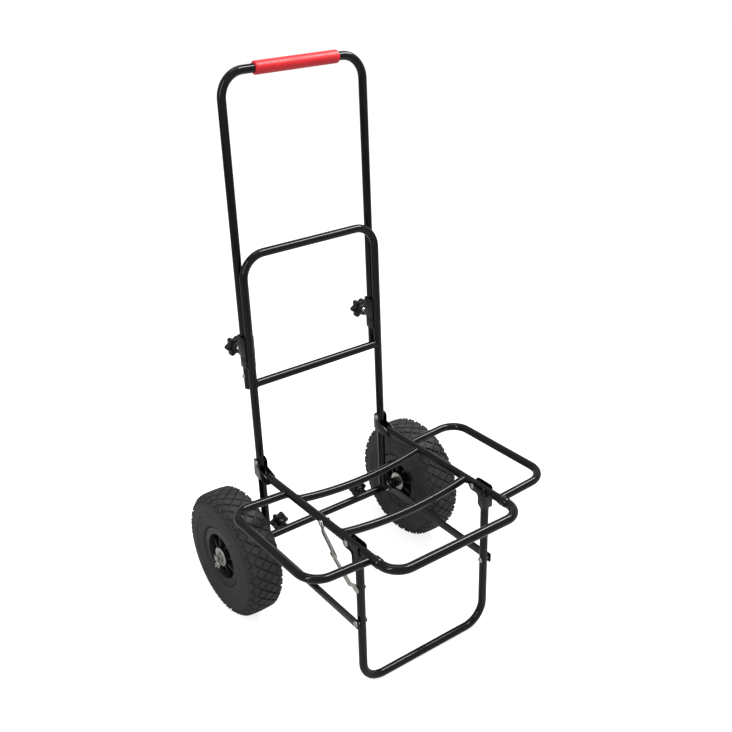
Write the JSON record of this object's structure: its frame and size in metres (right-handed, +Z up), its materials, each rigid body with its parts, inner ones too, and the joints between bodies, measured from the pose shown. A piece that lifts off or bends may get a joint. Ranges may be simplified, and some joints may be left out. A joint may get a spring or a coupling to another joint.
{
  "type": "fishing trolley",
  "caption": "Folding tubular steel fishing trolley: pneumatic wheels, a load platform that folds up with its linked front leg, side wings, and a clamped telescopic handle with a red grip.",
  "frame": {"origin": "on the ground, under the middle of the bounding box", "axes": "+Z up, -Y towards the front of the load platform, +Y towards the handle, X across the trolley"},
  "size_m": [0.566, 0.5488, 1.0581],
  "materials": {
    "black_powder_coat": "gloss black powder coat on steel tube and sheet",
    "zinc_plated_steel": "bright zinc plate",
    "grip_red": "satin foam rubber",
    "black_plastic": "satin moulded plastic",
    "tyre_rubber": "matt black rubber"
  },
  "bodies": {
    "frame": {"back_frame": "black_powder_coat", "back_crossbar": "black_powder_coat", "axle_tube": "black_powder_coat", "handle_clamp_left": "black_powder_coat", "handle_clamp_right": "black_powder_coat", "stub_axle_left": "zinc_plated_steel", "axle_spacer_left": "black_plastic", "axle_washer_left": "zinc_plated_steel", "split_pin_left": "zinc_plated_steel", "stub_axle_right": "zinc_plated_steel", "axle_spacer_right": "black_plastic", "axle_washer_right": "zinc_plated_steel", "split_pin_right": "zinc_plated_steel"},
    "handle": {"handle_frame": "black_powder_coat", "handle_grip": "grip_red", "handle_plug_left": "black_plastic", "handle_stop_bolt_left": "zinc_plated_steel", "handle_plug_right": "black_plastic", "handle_stop_bolt_right": "zinc_plated_steel"},
    "platform": {"rail_left": "black_powder_coat", "wing_left": "black_powder_coat", "platform_hinge_left": "black_powder_coat", "hinge_rivet_left": "zinc_plated_steel", "rail_right": "black_powder_coat", "wing_right": "black_powder_coat", "platform_hinge_right": "black_powder_coat", "hinge_rivet_right": "zinc_plated_steel", "front_bar": "black_powder_coat", "slat_rear": "black_powder_coat", "slat_front": "black_powder_coat"},
    "leg": {"leg_frame": "black_powder_coat", "leg_hinge_left": "black_powder_coat", "leg_rivet_left": "zinc_plated_steel", "leg_hinge_right": "black_powder_coat", "leg_rivet_right": "zinc_plated_steel"},
    "stay_upper": {"stay_upper_link": "zinc_plated_steel", "stay_rivet_top": "zinc_plated_steel", "stay_rivet_knee": "zinc_plated_steel"},
    "stay_lower": {"stay_lower_link": "zinc_plated_steel", "stay_rivet_foot": "zinc_plated_steel"},
    "wheel_left": {"tyre_left": "tyre_rubber", "rim_left": "black_plastic", "bearing_outer_left": "zinc_plated_steel", "bearing_inner_left": "zinc_plated_steel"},
    "brace_left_arm": {"brace_left": "black_powder_coat", "brace_rivet_left": "zinc_plated_steel"},
    "handle_knob_left_turn": {"handle_knob_left": "black_plastic"},
    "axle_knob_left_turn": {"axle_knob_left": "black_plastic"},
    "wheel_right": {"tyre_right": "tyre_rubber", "rim_right": "black_plastic", "bearing_outer_right": "zinc_plated_steel", "bearing_inner_right": "zinc_plated_steel"},
    "brace_right_arm": {"brace_right": "black_powder_coat", "brace_rivet_right": "zinc_plated_steel"},
    "handle_knob_right_turn": {"handle_knob_right": "black_plastic"},
    "axle_knob_right_turn": {"axle_knob_right": "black_plastic"}
  },
  "joints": [
    {"name": "handle_slide", "type": "slide", "parent": "frame", "child": "handle", "axis": [0, 0.1028, 0.9947], "range_m": [-0.31, 0.015]},
    {"name": "platform_fold", "type": "hinge", "parent": "frame", "child": "platform", "pos_m": [0, 0.16291, 0.30706], "axis": [-1, 0, 0], "range_deg": [0, 90]},
    {"name": "leg_fold", "type": "hinge", "parent": "platform", "child": "leg", "pos_m": [0, -0.14032, 0.31018], "axis": [-1, 0, 0], "range_deg": [-87.53, 0]},
    {"name": "brace_left_swing", "type": "hinge", "parent": "frame", "child": "brace_left_arm", "pos_m": [-0.1615, 0.14461, 0.13], "axis": [-1, 0, 0], "range_deg": [0, 81.62]},
    {"name": "brace_right_swing", "type": "hinge", "parent": "frame", "child": "brace_right_arm", "pos_m": [0.1615, 0.14461, 0.13], "axis": [-1, 0, 0], "range_deg": [0, 81.62]},
    {"name": "stay_upper_swing", "type": "hinge", "parent": "platform", "child": "stay_upper", "pos_m": [-0.1617, -0.06162, 0.30336], "axis": [-1, 0, 0], "range_deg": [0, 32.13]},
    {"name": "stay_lower_swing", "type": "hinge", "parent": "stay_upper", "child": "stay_lower", "pos_m": [-0.164, -0.11228, 0.26308], "axis": [-1, 0, 0], "range_deg": [-162.76, 0]},
    {"name": "wheel_left_spin", "type": "hinge", "parent": "frame", "child": "wheel_left", "pos_m": [-0.224, 0.14461, 0.13], "axis": [1, 0, 0], "continuous": true},
    {"name": "wheel_right_spin", "type": "hinge", "parent": "frame", "child": "wheel_right", "pos_m": [0.224, 0.14461, 0.13], "axis": [1, 0, 0], "continuous": true},
    {"name": "handle_knob_left_turn", "type": "hinge", "parent": "frame", "child": "handle_knob_left_turn", "pos_m": [-0.149, 0.21321, 0.53308], "axis": [0, 0.9947, -0.1028], "range_deg": [0, 720]},
    {"name": "handle_knob_right_turn", "type": "hinge", "parent": "frame", "child": "handle_knob_right_turn", "pos_m": [0.149, 0.21321, 0.53308], "axis": [0, 0.9947, -0.1028], "range_deg": [0, 720]},
    {"name": "axle_knob_left_turn", "type": "hinge", "parent": "frame", "child": "axle_knob_left_turn", "pos_m": [-0.102, 0.16676, 0.13], "axis": [0, 1, 0], "range_deg": [0, 720]},
    {"name": "axle_knob_right_turn", "type": "hinge", "parent": "frame", "child": "axle_knob_right_turn", "pos_m": [0.102, 0.16676, 0.13], "axis": [0, 1, 0], "range_deg": [0, 720]}
  ],
  "couplings": [
    {"joint": "leg_fold", "follows": "platform_fold", "ratio": -0.97245},
    {"joint": "brace_left_swing", "follows": "platform_fold", "ratio": 0.90674},
    {"joint": "brace_right_swing", "follows": "platform_fold", "ratio": 0.90674},
    {"joint": "stay_upper_swing", "follows": "platform_fold", "ratio": 0.35693},
    {"joint": "stay_lower_swing", "follows": "platform_fold", "ratio": -1.8083}
  ]
}
